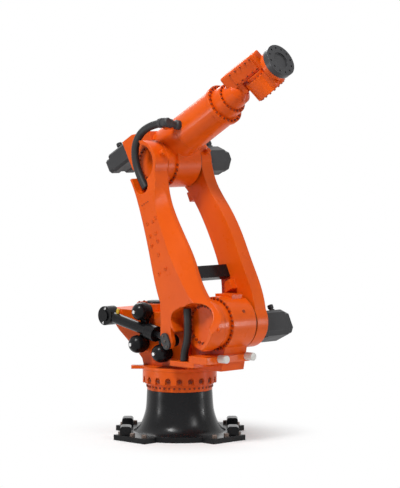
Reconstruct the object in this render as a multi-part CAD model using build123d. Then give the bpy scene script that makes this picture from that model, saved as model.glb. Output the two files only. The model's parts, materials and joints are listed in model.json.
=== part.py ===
from build123d import *
import math
import os

os.makedirs("parts", exist_ok=True)

# Six-axis robot arm, millimetres. The origin is on the floor at the turning axis, +X is forward,
# +Y is the robot's left and +Z is up. The rest pose is the pose in the picture.

# Clearances
RUN_GAP = 0.4

# Skeleton: shoulder axis, link, elbow, forearm and wrist
SHOULDER_X = 450.0
SHOULDER_Z = 875.0
LINK_LENGTH = 1300.0
LINK_LEAN = 25.5
FOREARM_TILT = 29.4
FOREARM_RISE = 95.0
WRIST_DISTANCE = 1130.0
WRIST_ROLL = 60.0

# Base casting
BASE_TOP = 350.0
FOOT_REACH = 525.0
FOOT_WIDTH = 330.0
FOOT_THICK = 40.0
FLANGE_RADIUS = 430.0
BELL_RADII = (345.0, 312.0, 291.0, 272.0, 258.0, 249.0, 244.0)
BELL_HEIGHT_SHARES = (0.0, 0.08, 0.174, 0.32, 0.48, 0.74, 1.0)
ANCHOR_DISTANCE = 490.0
ANCHOR_EDGE = 40.0
ANCHOR_RADIUS = 13.5
FOOT_COUNT = 4

# Transport lugs on the feet
LUG_LENGTH = 130.0
LUG_WIDTH = 84.0
LUG_HEIGHT = 65.0
LUG_DISTANCE = 450.0
LUG_OFFSET = 112.0
LUG_ROUND = 20.0
LUG_TURN = 45.0

# Turning ring on the base, and the ring of bolt pockets above it
SLEW_RADIUS = 245.0
SLEW_HEIGHT = 54.0
RING_RADIUS = 278.0
RING_TOP = 502.0
POCKET_COUNT = 20
POCKET_WIDTH = 42.0
POCKET_DEPTH = 24.0
POCKET_ROOF = 46.0

# Deck, rear housing and shoulder housing
DECK_THICK = 26.0
BAR_REACH = 363.0
BAR_WIDTH = 64.0
BAR_HEIGHT = 24.0
BAR_TURN = 225.0
REAR_SIDE = 150.0
REAR_OUTLINE = ((-236.0, 0.0), (-250.0, 45.0), (-300.0, 92.0), (-505.0, 243.0), (-590.0, 330.0),
                (-620.0, 402.0), (40.0, 402.0), (190.0, 310.0), (240.0, 0.0))
SHOULDER_OUTLINE = ((40.0, 0.0), (40.0, 402.0), (330.0, 500.0), (560.0, 200.0), (520.0, 0.0))
HOUSING_RADIUS = 200.0
HOUSING_STEP = 85.0
HOUSING_GAP = 18.0
SEAL_STEP = 8.0
SEAL_THICK = 11.0
GEAR_RADIUS = 176.0
NOSE_BACK = 380.0
NOSE_FRONT = 568.0
NOSE_BOTTOM = 594.0
NOSE_THICK = 54.0
NOSE_NEAR = 280.0
NOSE_FAR = 165.0
APRON_BACK = 180.0
APRON_FRONT = 430.0
APRON_THICK = 40.0
APRON_STEP = 48.0
BUFFER_RADIUS = 29.0
BUFFER_LENGTH = 72.0
BUFFER_NEAR = 148.0
BUFFER_FAR = 132.0
BUFFER_LIFT = 12.0

# Motor that turns the column
TURN_MOTOR_X = -250.0
TURN_MOTOR_Y = 0.0
COLLAR_RADIUS = 148.0
COLLAR_WALL = 26.0
COLLAR_HEIGHT = 55.0
TURN_MOTOR_RADIUS = 112.0
TURN_MOTOR_HEIGHT = 42.0
TURN_MOTOR_CAP_RADIUS = 70.0
TURN_MOTOR_CAP_HEIGHT = 26.0

# Weight-balancing cylinder and its gas bottles
BALANCE_SIDE = 240.0
BALANCE_PIVOT_X = -520.0
BALANCE_PIVOT_Z = 884.0
PIVOT_BOSS_RADIUS = 56.0
PIVOT_PIN_RADIUS = 26.0
PIVOT_CAP_RADIUS = 40.0
PIVOT_CAP_THICK = 12.0
HEAD_RADIUS = 72.0
HEAD_THICK = 92.0
TUBE_RADIUS = 41.0
GLAND_RADIUS = 60.0
GLAND_LENGTH = 92.0
GLAND_END = 176.0
ROD_RADIUS = 24.0
EYE_RADIUS = 45.0
EYE_THICK = 44.0
EYE_BORE = 26.0
BOTTLE_RADIUS = 68.0
BOTTLE_BODY = 38.0
BOTTLE_VALVE_RADIUS = 13.0
BOTTLE_VALVE_LENGTH = 9.0
BOTTLE_ARM_WIDTH = 54.0
BOTTLE_ARM_THICK = 36.0
BOTTLE_ARM_BITE = 6.0
BOTTLE_ALONG = (335.0, 348.0, 602.0)
BOTTLE_ABOVE = (121.0, -127.0, -128.0)
CAP_RADIUS = 13.0
CAP_LENGTH = 34.0
CAP_ALONG = 92.0

# Link blades
BLADE_INNER = 170.0
BLADE_THICK = 135.0
BLADE_LAND = 30.0
HUB_RADIUS = 195.0
TOP_RADIUS = 165.0
BLADE_FRONT_WIDTHS = (190.0, 131.0, 98.0, 101.0, 86.0, 64.0, 60.0, 95.0, 165.0)
BLADE_FRONT_SHARES = (0.0, 0.101, 0.233, 0.354, 0.481, 0.612, 0.739, 0.862, 1.0)
BLADE_REAR_WIDTHS = (-165.0, -146.0, -151.0, -173.0, -203.0, -235.0, -248.0, -190.0)
BLADE_REAR_SHARES = (1.0, 0.903, 0.781, 0.632, 0.488, 0.345, 0.228, 0.0)
FAR_FRONT_WIDTHS = (190.0, 212.0, 222.0, 217.0, 212.0, 176.0, 132.0, 140.0, 165.0)
FAR_FRONT_SHARES = (0.0, 0.07, 0.15, 0.30, 0.48, 0.66, 0.83, 0.91, 1.0)
FAR_REAR_WIDTHS = (-165.0, -105.0, -50.0, -22.0, -8.0, -20.0, -70.0, -140.0, -190.0)
FAR_REAR_SHARES = (1.0, 0.90, 0.78, 0.66, 0.50, 0.32, 0.20, 0.10, 0.0)
FAR_EDGE = 22.0
BEVEL_SHARES = (0.992, 0.925, 0.855, 0.755, 0.641, 0.520, 0.395, 0.266, 0.134, 0.0, -0.103, -0.2)
BEVEL_INNER_WIDTHS = (182.0, 172.0, 112.0, 66.0, 66.0, 84.0, 99.0, 102.0, 126.0, 192.0, 190.0, 190.0)
BEVEL_OUTER_WIDTHS = (170.0, 156.0, 93.0, 24.0, -4.0, -9.0, -4.0, 21.0, 60.0, 137.0, 150.0, 154.0)
BEVEL_REACH = 420.0
BEVEL_OVERCUT = 1.0
WEB_THICK = 20.0
HUB_POCKET_RADIUS = 164.0
ARCH_REAR = 202.0
ARCH_TOP = 172.0
ARCH_ROUND = 70.0
TOP_POCKET_RADIUS = 138.0
TOP_POCKET_WEB = 26.0
SLOT_REAR = 130.0
SLOT_FRONT = 10.0
SLOT_DROP = 218.0
SLOT_ROUND = 60.0
WAY_FRONT = 60.0
WAY_DROP = 70.0
EAR_THICK = 35.0
EAR_PIN_REAR = 307.0
EAR_RADIUS = 58.0
EAR_OUTLINE = ((-228.0, 330.0), (-302.0, 159.0), (-352.0, 60.0), (-364.0, 0.0), (-307.0, -40.0), (-252.0, 0.0),
               (-214.0, 110.0), (-206.0, 210.0), (-206.0, 330.0))
EAR_CAP_RADIUS = 37.0
EAR_CAP_THICK = 18.0
EAR_CAP_SPREAD = 26.0
BEAM_HEIGHT_SHARE = 0.2976923
BEAM_FORWARD = 34.0
BEAM_LENGTH = 96.0
BEAM_DEPTH = 62.0
BRACKET_HEIGHT_SHARES = (0.804, 0.205)
BRACKET_FORWARD = (-52.0, 50.0)
BRACKET_LENGTH = 74.0
BRACKET_DEPTH = 84.0
BRACKET_WIDTH = 78.0
BRACKET_INSETS = (4.0, -56.0)

# Shoulder and elbow motors on the far blade
MOTOR_FLANGE = 222.0
MOTOR_FLANGE_THICK = 30.0
MOTOR_BODY = 200.0
MOTOR_CHAMFER = 30.0
MOTOR_BODY_LENGTH = 238.0
MOTOR_CAP = 168.0
MOTOR_CAP_LENGTH = 56.0
MOTOR_DROP = 58.0
ELBOW_MOTOR_LENGTH = 186.0
ELBOW_MOTOR_CAP_LENGTH = 54.0
ELBOW_MOTOR_CHAMFER = 56.0

# Elbow housing and forearm
ELBOW_RADIUS = 190.0
ELBOW_GEAR_RADIUS = 168.0
ELBOW_SADDLE = ((-176.0, -40.0), (-176.0, 130.0), (236.0, 130.0), (214.0, 20.0), (150.0, -116.0))
ELBOW_SIDE = 150.0
ELBOW_REAR = ((-240.0, 66.0), (-240.0, 300.0), (-120.0, 300.0), (50.0, 238.0), (50.0, 66.0))
TUBE_START = -236.0
TUBE_SEAM = 300.0
TUBE_REAR_RADIUS = 151.0
TUBE_FRONT_RADIUS = 146.0
WRIST_OVERHANG = 440.0
FRONT_RING_LENGTH = 30.0
FRONT_RING_RADIUS = 157.0
WRIST_MOTOR_SIZE = 146.0
WRIST_MOTOR_SPACING = 152.0
WRIST_MOTOR_RISE = 224.0
WRIST_MOTOR_LENGTH = 190.0
WRIST_MOTOR_CAP = 112.0
WRIST_MOTOR_CAP_LENGTH = 60.0
WRIST_MOTOR_CHAMFER = 18.0

# Wrist
ROLL_RING_LENGTH = 86.0
ROLL_RING_REAR = 127.0
ROLL_RING_FRONT = 119.0
WRIST_NECK_REAR = 98.0
WRIST_NECK_FRONT = 88.0
WRIST_NECK_LENGTH = 96.0
ARM_HALF_WIDTH = 50.0
ARM_INNER = 40.0
ARM_OUTER = 166.0
ARM_START = 62.0
ARM_REACH = 110.0
ARM_ROUND = 30.0
WRIST_NOSE_LENGTH = 44.0
WRIST_NOSE_RADIUS = 46.0
ARM_EDGE = 14.0
ROOT_GAP = 14.0
ROOT_HALF_WIDTH = 40.0
ROOT_DEPTH = 34.0
WRIST_COVER_THICK = 8.0
WRIST_COVER_MARGIN = 16.0
WRIST_COVER_LENGTH = 246.0
WRIST_COVER_SETBACK = 34.0

# Hand and tool flange
BEND_GEAR_RADIUS = 92.0
DRUM_RADIUS = 124.0
DRUM_INNER = 12.0
DRUM_OUTER = 132.0
BRIDGE_HALF_WIDTH = 92.0
BRIDGE_OUTER = 106.0
HAND_HOUSING_START = 138.0
HAND_HOUSING_LENGTH = 48.0
HAND_HOUSING_RADIUS = 113.0
FLANGE_PLATE_RADIUS = 125.0
FLANGE_PLATE_THICK = 46.0
FLANGE_HOLE_COUNT = 12
FLANGE_HOLE_CIRCLE = 100.0
FLANGE_HOLE_RADIUS = 8.0
FLANGE_HOLE_DEPTH = 26.0
PILOT_RADIUS = 62.5
PILOT_DEPTH = 10.0

# Hoses
HOSE_RADIUS = 30.0
LOWER_HOSE_SIDE = 240.0
LOWER_HOSE_OFFSETS = ((-128.0, 115.0), (-112.0, -95.0), (-160.0, -205.0))
LOWER_HOSE_BEND = 150.0
UPPER_HOSE_SIDE = 268.0
UPPER_HOSE_OFFSETS = ((26.0, -186.0), (-78.0, -58.0), (-100.0, 150.0), (50.0, 284.0), (236.0, 300.0))
UPPER_HOSE_BEND = 105.0
CLAMP_LENGTH = 30.0
CLAMP_HEIGHT = 40.0
CLAMP_DROP = 14.0

# Frames that share the robot's own turning planes: local x and y lie in the plane, local z points to -Y
SIDE_NORMAL = (0, -1, 0)
lean = math.radians(LINK_LEAN)
tilt = math.radians(FOREARM_TILT)
link_dir = Vector(-math.sin(lean), 0, math.cos(lean))
link_front = Vector(math.cos(lean), 0, math.sin(lean))
arm_dir = Vector(math.cos(tilt), 0, math.sin(tilt))
arm_up = Vector(-math.sin(tilt), 0, math.cos(tilt))
shoulder = Vector(SHOULDER_X, 0, SHOULDER_Z)
elbow = shoulder + link_dir * LINK_LENGTH
arm_start = elbow + arm_up * FOREARM_RISE
WORLD = Plane(origin=(0, 0, 0), x_dir=(1, 0, 0), z_dir=SIDE_NORMAL)
roll = math.radians(WRIST_ROLL)
roll_side = Vector(0, -math.cos(roll), 0) + arm_up * math.sin(roll)
LINK = Plane(origin=shoulder, x_dir=link_front, z_dir=SIDE_NORMAL)
ELBOW = Plane(origin=elbow, x_dir=arm_dir, z_dir=SIDE_NORMAL)
ARM = Plane(origin=arm_start, x_dir=arm_dir, z_dir=SIDE_NORMAL)
WRIST = Plane(origin=arm_start, x_dir=arm_dir, z_dir=roll_side)

# Heights and faces that several pieces share
anchor_spread = FOOT_WIDTH / 2 - ANCHOR_EDGE
slew_bottom = BASE_TOP + RUN_GAP
ring_bottom = slew_bottom + SLEW_HEIGHT
deck_top = RING_TOP + DECK_THICK
rear_top = deck_top + max(z for x, z in REAR_OUTLINE)
blade_outer = BLADE_INNER + BLADE_THICK
near_gear_face = BLADE_INNER - RUN_GAP
far_housing_face = BLADE_INNER - HOUSING_GAP
seal_face = far_housing_face + SEAL_THICK
ear_pin = shoulder - link_front * EAR_PIN_REAR
balance_pivot = Vector(BALANCE_PIVOT_X, 0, BALANCE_PIVOT_Z)
balance_span = (ear_pin - balance_pivot).length
balance_dir = (ear_pin - balance_pivot).normalized()
BALANCE = Plane(origin=balance_pivot, x_dir=balance_dir, z_dir=SIDE_NORMAL)
head_back = BALANCE_SIDE - HEAD_THICK / 2 - RUN_GAP
head_front = BALANCE_SIDE + HEAD_THICK / 2
bottle_seat = BALANCE_SIDE - TUBE_RADIUS + BOTTLE_ARM_BITE
apron_top = NOSE_BOTTOM + NOSE_THICK - APRON_STEP
lower_hose_points = [(SHOULDER_X + x, SHOULDER_Z + z) for x, z in LOWER_HOSE_OFFSETS]
lower_hose_points.append((lower_hose_points[-1][0], apron_top + RUN_GAP))
upper_hose_points = [(elbow.X + x, elbow.Z + z) for x, z in UPPER_HOSE_OFFSETS]
front_ring_start = WRIST_DISTANCE - WRIST_OVERHANG
roll_start = front_ring_start + FRONT_RING_LENGTH + RUN_GAP
roll_end = roll_start + ROLL_RING_LENGTH
flange_start = HAND_HOUSING_START + HAND_HOUSING_LENGTH + RUN_GAP


def save(name, *solids):
    """Write one named piece, made of one solid or of several that stand apart."""
    shape = solids[0] if len(solids) == 1 else Compound(children=list(solids))
    export_step(shape, f"parts/{name}.step")


def slab(sketch, frame, low, high):
    """A sketch drawn in a side frame, made solid from Y = low to Y = high."""
    return extrude(frame.offset(-high) * sketch, amount=high - low)


def disc(frame, across, up, radius, low, high):
    """A round slab about a point of a side frame."""
    return slab(Pos(across, up) * Circle(radius), frame, low, high)


def outline(points):
    """A flat face inside a row of straight edges."""
    return make_face(Polyline(*points, close=True))


def round_bar(frame, start, end, rear_radius, front_radius):
    """A round or tapered bar along a side frame's local x."""
    length = end - start
    across = Plane(origin=frame.origin + frame.x_dir * start, x_dir=(0, 1, 0), z_dir=frame.x_dir)
    if rear_radius == front_radius:
        bar = Cylinder(rear_radius, length, align=(Align.CENTER, Align.CENTER, Align.MIN))
    else:
        bar = Cone(rear_radius, front_radius, length, align=(Align.CENTER, Align.CENTER, Align.MIN))
    return across * bar


def upright(radius, bottom, top):
    """An upright round bar on the turning axis."""
    return Pos(0, 0, bottom) * Cylinder(radius, top - bottom, align=(Align.CENTER, Align.CENTER, Align.MIN))


def block(low_corner, high_corner):
    """A box between two corners."""
    size = [high - low for low, high in zip(low_corner, high_corner)]
    centre = [(high + low) / 2 for low, high in zip(low_corner, high_corner)]
    return Pos(*centre) * Box(*size)


def cut_square(width, chamfer_size):
    """A square with its corners cut off."""
    half = width / 2
    inner = half - chamfer_size
    return outline(((half, -inner), (half, inner), (inner, half), (-inner, half),
                    (-half, inner), (-half, -inner), (-inner, -half), (inner, -half)))


def base_frame():
    """Bell-shaped casting on a round flange with four feet."""
    heights = [FOOT_THICK + share * (BASE_TOP - FOOT_THICK) for share in BELL_HEIGHT_SHARES]
    wall = Spline(*zip(BELL_RADII, heights))
    rest = Polyline((BELL_RADII[-1], BASE_TOP), (0, BASE_TOP), (0, 0), (FLANGE_RADIUS, 0),
                    (FLANGE_RADIUS, FOOT_THICK), (BELL_RADII[0], FOOT_THICK))
    casting = revolve(Plane.XZ * make_face([wall, rest]), Axis.Z)
    foot = block((0, -FOOT_WIDTH / 2, 0), (FOOT_REACH, FOOT_WIDTH / 2, FOOT_THICK))
    for index in range(FOOT_COUNT):
        turn = Rot(0, 0, index * 360 / FOOT_COUNT)
        casting += turn * foot
    for index in range(FOOT_COUNT):
        turn = Rot(0, 0, index * 360 / FOOT_COUNT)
        for side in (-anchor_spread, 0, anchor_spread):
            hole = Cylinder(ANCHOR_RADIUS, 2 * FOOT_THICK, align=(Align.CENTER, Align.CENTER, Align.CENTER))
            casting -= turn * Pos(ANCHOR_DISTANCE, side, FOOT_THICK / 2) * hole
    return casting


def transport_lugs():
    """Blocks on the feet with rounded tops."""
    lugs = []
    body = Box(LUG_LENGTH, LUG_WIDTH, LUG_HEIGHT, align=(Align.CENTER, Align.CENTER, Align.MIN))
    lug = fillet(body.edges().filter_by(Axis.X).group_by(Axis.Z)[-1], LUG_ROUND)
    places = ((-LUG_OFFSET, -LUG_DISTANCE), (-LUG_DISTANCE, -LUG_OFFSET),
              (LUG_DISTANCE, LUG_OFFSET), (LUG_OFFSET, LUG_DISTANCE))
    for x, y in places:
        lugs.append(Pos(x, y, FOOT_THICK) * Rot(0, 0, -LUG_TURN) * lug)
    return lugs


def pocket_ring():
    """Ring with arched bolt pockets all round its outside."""
    ring = upright(RING_RADIUS, ring_bottom, RING_TOP)
    spring_line = RING_TOP - POCKET_ROOF - POCKET_WIDTH / 2
    wall = RING_RADIUS - POCKET_DEPTH
    straight = block((wall, -POCKET_WIDTH / 2, ring_bottom - POCKET_DEPTH),
                     (RING_RADIUS + POCKET_DEPTH, POCKET_WIDTH / 2, spring_line))
    arch = Pos(RING_RADIUS, 0, spring_line) * Rot(0, 90, 0) * Cylinder(POCKET_WIDTH / 2, 2 * POCKET_DEPTH)
    pocket = straight + arch
    for index in range(POCKET_COUNT):
        ring -= Rot(0, 0, (index + 1 / 2) * 360 / POCKET_COUNT) * pocket
    return ring


def column_deck():
    """Round deck with a short lifting bar."""
    deck = upright(RING_RADIUS, RING_TOP, deck_top)
    bar = block((0, -BAR_WIDTH / 2, deck_top - BAR_HEIGHT), (BAR_REACH, BAR_WIDTH / 2, deck_top))
    return deck + Rot(0, 0, BAR_TURN) * bar


def column_body():
    """Rear housing, shoulder housing and nose plate, in one casting."""
    lifted_rear = [(x, deck_top + z) for x, z in REAR_OUTLINE]
    lifted_shoulder = [(x, deck_top + z) for x, z in SHOULDER_OUTLINE]
    body = slab(outline(lifted_rear), WORLD, -REAR_SIDE, REAR_SIDE)
    body += slab(outline(lifted_shoulder), WORLD, -HOUSING_STEP, REAR_SIDE)
    body += disc(LINK, 0, 0, HOUSING_RADIUS, -HOUSING_STEP, far_housing_face)
    body += block((NOSE_BACK, -NOSE_NEAR, NOSE_BOTTOM), (NOSE_FRONT, NOSE_FAR, NOSE_BOTTOM + NOSE_THICK))
    body += block((APRON_BACK, -NOSE_NEAR, apron_top - APRON_THICK), (APRON_FRONT, 0, apron_top))
    body += disc(BALANCE, 0, 0, PIVOT_BOSS_RADIUS, -head_back, -REAR_SIDE)
    return body


def pivot_pin():
    """Pin of the balancing cylinder with its retaining cap."""
    pin = disc(BALANCE, 0, 0, PIVOT_PIN_RADIUS, -head_front - RUN_GAP, -head_back)
    cap_low = -head_front - RUN_GAP - PIVOT_CAP_THICK
    return pin + disc(BALANCE, 0, 0, PIVOT_CAP_RADIUS, cap_low, -head_front - RUN_GAP)


def turn_motor_collar():
    """Raised ring round the top of the turning motor."""
    ring = Cylinder(COLLAR_RADIUS, COLLAR_HEIGHT, align=(Align.CENTER, Align.CENTER, Align.MIN))
    ring -= Cylinder(COLLAR_RADIUS - COLLAR_WALL, COLLAR_HEIGHT, align=(Align.CENTER, Align.CENTER, Align.MIN))
    return Pos(TURN_MOTOR_X, TURN_MOTOR_Y, rear_top) * ring


def turn_motor():
    """Top of the turning motor, standing inside its collar."""
    body = Cylinder(TURN_MOTOR_RADIUS, TURN_MOTOR_HEIGHT, align=(Align.CENTER, Align.CENTER, Align.MIN))
    cap = Cylinder(TURN_MOTOR_CAP_RADIUS, TURN_MOTOR_CAP_HEIGHT, align=(Align.CENTER, Align.CENTER, Align.MIN))
    return Pos(TURN_MOTOR_X, TURN_MOTOR_Y, rear_top) * (body + Pos(0, 0, TURN_MOTOR_HEIGHT) * cap)


def buffers():
    """Two round buffers on the front of the nose plate."""
    height = NOSE_BOTTOM + NOSE_THICK - BUFFER_RADIUS + BUFFER_LIFT
    bar = Cylinder(BUFFER_RADIUS, BUFFER_LENGTH, align=(Align.CENTER, Align.CENTER, Align.MIN))
    return [Pos(NOSE_FRONT, side, height) * Rot(0, 90, 0) * bar for side in (-BUFFER_NEAR, BUFFER_FAR)]


def balance_cylinder():
    """Tail head, tube, gland, rod and eye, with the arms that carry the gas bottles."""
    gland_end = balance_span - GLAND_END
    gland_start = gland_end - GLAND_LENGTH
    line = BALANCE.offset(BALANCE_SIDE)
    body = disc(BALANCE, 0, 0, HEAD_RADIUS, -head_front, -head_back - RUN_GAP)
    body += round_bar(line, 0, gland_start, TUBE_RADIUS, TUBE_RADIUS)
    body += round_bar(line, gland_start, gland_end, GLAND_RADIUS, GLAND_RADIUS)
    body += round_bar(line, gland_end, balance_span, ROD_RADIUS, ROD_RADIUS)
    arm_front = bottle_seat
    for along, above in zip(BOTTLE_ALONG, BOTTLE_ABOVE):
        half = BOTTLE_ARM_WIDTH / 2
        foot = min(along, gland_end - half)
        arm = outline(((foot - half, 0), (foot + half, 0), (along + half, above), (along - half, above)))
        body += slab(arm, BALANCE, -arm_front, -arm_front + BOTTLE_ARM_THICK)
        body += disc(BALANCE, along, above, BOTTLE_RADIUS - half / 2, -arm_front, -arm_front + BOTTLE_ARM_THICK)
    eye_low = -BALANCE_SIDE - EYE_THICK / 2
    eye = disc(BALANCE, balance_span, 0, EYE_RADIUS, eye_low, eye_low + EYE_THICK)
    body += eye
    body -= disc(BALANCE, balance_span, 0, EYE_BORE, -head_front, -head_back)
    body -= disc(BALANCE, 0, 0, PIVOT_PIN_RADIUS + RUN_GAP, -blade_outer, 0)
    return body


def gas_bottle(along, above):
    """Short round bottle with a domed end and a filling valve."""
    domed = -bottle_seat - BOTTLE_BODY
    body = disc(BALANCE, along, above, BOTTLE_RADIUS, domed, -bottle_seat)
    centre = BALANCE.origin + BALANCE.x_dir * along + BALANCE.y_dir * above
    ball = Pos(centre.X, domed, centre.Z) * Sphere(BOTTLE_RADIUS)
    reach = Pos(centre.X, domed, centre.Z) * Box(4 * BOTTLE_RADIUS, 2 * BOTTLE_RADIUS, 4 * BOTTLE_RADIUS,
                                                 align=(Align.CENTER, Align.MAX, Align.CENTER))
    return body + (ball & reach)


def gas_valve(along, above):
    """Round valve plug on the dome of a bottle."""
    tip = -bottle_seat - BOTTLE_BODY - BOTTLE_RADIUS
    plug = disc(BALANCE, along, above, BOTTLE_VALVE_RADIUS, tip - BOTTLE_VALVE_LENGTH, tip + BOTTLE_RADIUS)
    return plug - gas_bottle(along, above)


def valve_cap():
    """Round cap on top of the balancing cylinder's tube."""
    line = BALANCE.offset(BALANCE_SIDE)
    foot = line.origin + line.x_dir * CAP_ALONG
    upward = Plane(origin=foot, x_dir=(0, 1, 0), z_dir=line.y_dir)
    tall = TUBE_RADIUS + CAP_LENGTH
    post = upward * Cylinder(CAP_RADIUS, tall, align=(Align.CENTER, Align.CENTER, Align.MIN))
    return post - round_bar(line, 0, balance_span, TUBE_RADIUS, TUBE_RADIUS)


def along_link(widths, shares):
    """Points of the link: offsets from its axis line at shares of its length."""
    return [(width, share * LINK_LENGTH) for width, share in zip(widths, shares)]


def blade_shape(front_points, rear_points):
    """Flat outline of a blade: two curved edges between a hub at each end."""
    top = Line(front_points[-1], rear_points[0])
    bottom = Line(rear_points[-1], front_points[0])
    shape = make_face([Spline(*front_points), top, Spline(*rear_points), bottom])
    shape += Circle(HUB_RADIUS)
    return shape + Pos(0, LINK_LENGTH) * Circle(TOP_RADIUS)


def plain_blade():
    """Near blade without its pockets: a curved casting with a broad bevel along its front."""
    front_points = along_link(BLADE_FRONT_WIDTHS, BLADE_FRONT_SHARES)
    rear_points = along_link(BLADE_REAR_WIDTHS, BLADE_REAR_SHARES)
    blade = slab(blade_shape(front_points, rear_points), LINK, -blade_outer, -BLADE_INNER)
    return blade - bevel_cut()


def bevel_cut():
    """What the broad bevel takes off the front of the near blade."""
    sections = []
    edges = ((BEVEL_INNER_WIDTHS, BLADE_INNER + BLADE_LAND), (BEVEL_OUTER_WIDTHS, blade_outer + BEVEL_OVERCUT))
    for widths, side in edges:
        points = along_link(widths, BEVEL_SHARES)
        edge = Spline(*points)
        back = Polyline(points[-1], (BEVEL_REACH, points[-1][1]), (BEVEL_REACH, points[0][1]), points[0])
        sections.append(LINK.offset(side) * make_face([edge, back]))
    return loft(sections, ruled=True)


def near_blade():
    """Blade with an open hub, an arch and a top pocket for the hose, and an ear for the balancing cylinder."""
    blade = plain_blade()
    blade += slab(outline(EAR_OUTLINE) + Pos(-EAR_PIN_REAR, 0) * Circle(EAR_RADIUS), LINK,
                  -blade_outer, -blade_outer + EAR_THICK)
    floor = -BLADE_INNER - WEB_THICK
    outside = -blade_outer - BEVEL_OVERCUT
    blade -= disc(LINK, 0, 0, HUB_POCKET_RADIUS, outside, floor)
    arch = outline(((-ARCH_REAR, ARCH_TOP), (0, ARCH_TOP), (0, -EAR_PIN_REAR), (-ARCH_REAR, -EAR_PIN_REAR)))
    arch = fillet(arch.vertices().group_by(Axis.Y)[-1], ARCH_ROUND)
    blade -= slab(arch, LINK, outside, floor)
    top_floor = -BLADE_INNER - TOP_POCKET_WEB
    blade -= disc(LINK, 0, LINK_LENGTH, TOP_POCKET_RADIUS, outside, top_floor)
    slot_bottom = LINK_LENGTH - SLOT_DROP
    slot = outline(((-SLOT_REAR, slot_bottom), (SLOT_FRONT, slot_bottom), (SLOT_FRONT, LINK_LENGTH),
                    (-SLOT_REAR, LINK_LENGTH)))
    slot = fillet(slot.vertices().group_by(Axis.Y)[0], SLOT_ROUND)
    blade -= slab(slot, LINK, outside, top_floor)
    way_low = LINK_LENGTH - WAY_DROP
    way_high = LINK_LENGTH + HUB_RADIUS
    way_out = outline(((-HUB_RADIUS, way_low), (0, way_low), (WAY_FRONT, LINK_LENGTH), (WAY_FRONT, way_high),
                       (-HUB_RADIUS, way_high)))
    return blade - slab(way_out, LINK, outside, top_floor)


def far_blade():
    """Plain blade that bows forward, with a stop bracket behind its top and one on its inner face."""
    front_points = along_link(FAR_FRONT_WIDTHS, FAR_FRONT_SHARES)
    rear_points = along_link(FAR_REAR_WIDTHS, FAR_REAR_SHARES)
    blade = slab(blade_shape(front_points, rear_points), LINK, BLADE_INNER, blade_outer)
    blade = chamfer(blade.faces().sort_by(Axis.Y)[-1].edges(), FAR_EDGE)
    for share, forward, inset in zip(BRACKET_HEIGHT_SHARES, BRACKET_FORWARD, BRACKET_INSETS):
        bracket = Pos(forward, share * LINK_LENGTH) * Rectangle(BRACKET_DEPTH, BRACKET_LENGTH)
        blade += slab(bracket, LINK, BLADE_INNER + inset, BLADE_INNER + inset + BRACKET_WIDTH)
    return blade


def cross_beam():
    """Rectangular beam between the two blades."""
    section = Pos(BEAM_FORWARD, BEAM_HEIGHT_SHARE * LINK_LENGTH) * Rectangle(BEAM_DEPTH, BEAM_LENGTH)
    return slab(section, LINK, -BLADE_INNER, BLADE_INNER)


def ear_cap():
    """Long round cap over the pin in the ear."""
    shape = Pos(-EAR_PIN_REAR, EAR_CAP_SPREAD) * Circle(EAR_CAP_RADIUS)
    shape += Pos(-EAR_PIN_REAR, -EAR_CAP_SPREAD) * Circle(EAR_CAP_RADIUS)
    shape += Pos(-EAR_PIN_REAR, 0) * Rectangle(2 * EAR_CAP_RADIUS, 2 * EAR_CAP_SPREAD)
    return slab(shape, LINK, -blade_outer - EAR_CAP_THICK, -blade_outer)


def side_motor(height, length, cap_length, chamfer_size):
    """Motor standing out from the far blade: flange, body and end cap."""
    face = blade_outer
    place = Pos(0, height)
    motor = slab(place * cut_square(MOTOR_FLANGE, chamfer_size), LINK, face, face + MOTOR_FLANGE_THICK)
    body_start = face + MOTOR_FLANGE_THICK
    motor += slab(place * cut_square(MOTOR_BODY, chamfer_size), LINK, body_start, body_start + length)
    cap_start = body_start + length
    return motor + slab(place * cut_square(MOTOR_CAP, chamfer_size), LINK, cap_start, cap_start + cap_length)


def tube_radius(along):
    """Radius of the tapered forearm at a distance along its axis."""
    share = (along - TUBE_START) / (front_ring_start - TUBE_START)
    return TUBE_REAR_RADIUS + share * (TUBE_FRONT_RADIUS - TUBE_REAR_RADIUS)


def elbow_gear():
    """Round flange on the near side of the elbow housing."""
    return disc(ELBOW, 0, 0, ELBOW_GEAR_RADIUS, -near_gear_face, -HOUSING_STEP)


def elbow_body():
    """Round housing on the elbow axis, with the saddle and the rear of the forearm on top of it."""
    body = disc(ELBOW, 0, 0, ELBOW_RADIUS, -HOUSING_STEP, far_housing_face)
    body += slab(outline(ELBOW_SADDLE), ELBOW, -HOUSING_STEP, ELBOW_SIDE)
    body += slab(outline(ELBOW_REAR), ELBOW, -ELBOW_SIDE, ELBOW_SIDE)
    body += round_bar(ARM, TUBE_START, TUBE_SEAM, TUBE_REAR_RADIUS, tube_radius(TUBE_SEAM))
    return body - elbow_gear()


def forearm_tube():
    """Tapered tube in front of the seam."""
    return round_bar(ARM, TUBE_SEAM, front_ring_start, tube_radius(TUBE_SEAM), TUBE_FRONT_RADIUS)


def wrist_motor(side):
    """One of the motors at the rear of the forearm."""
    rear = min(s for s, n in ELBOW_REAR)
    place = ELBOW.origin + ELBOW.x_dir * rear + ELBOW.y_dir * WRIST_MOTOR_RISE + Vector(0, side, 0)
    backward = Plane(origin=place, x_dir=(0, 1, 0), z_dir=-ELBOW.x_dir)
    motor = extrude(backward * cut_square(WRIST_MOTOR_SIZE, WRIST_MOTOR_CHAMFER), amount=WRIST_MOTOR_LENGTH)
    cap = extrude(backward.offset(WRIST_MOTOR_LENGTH) * cut_square(WRIST_MOTOR_CAP, WRIST_MOTOR_CHAMFER),
                  amount=WRIST_MOTOR_CAP_LENGTH)
    return motor + cap


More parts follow.
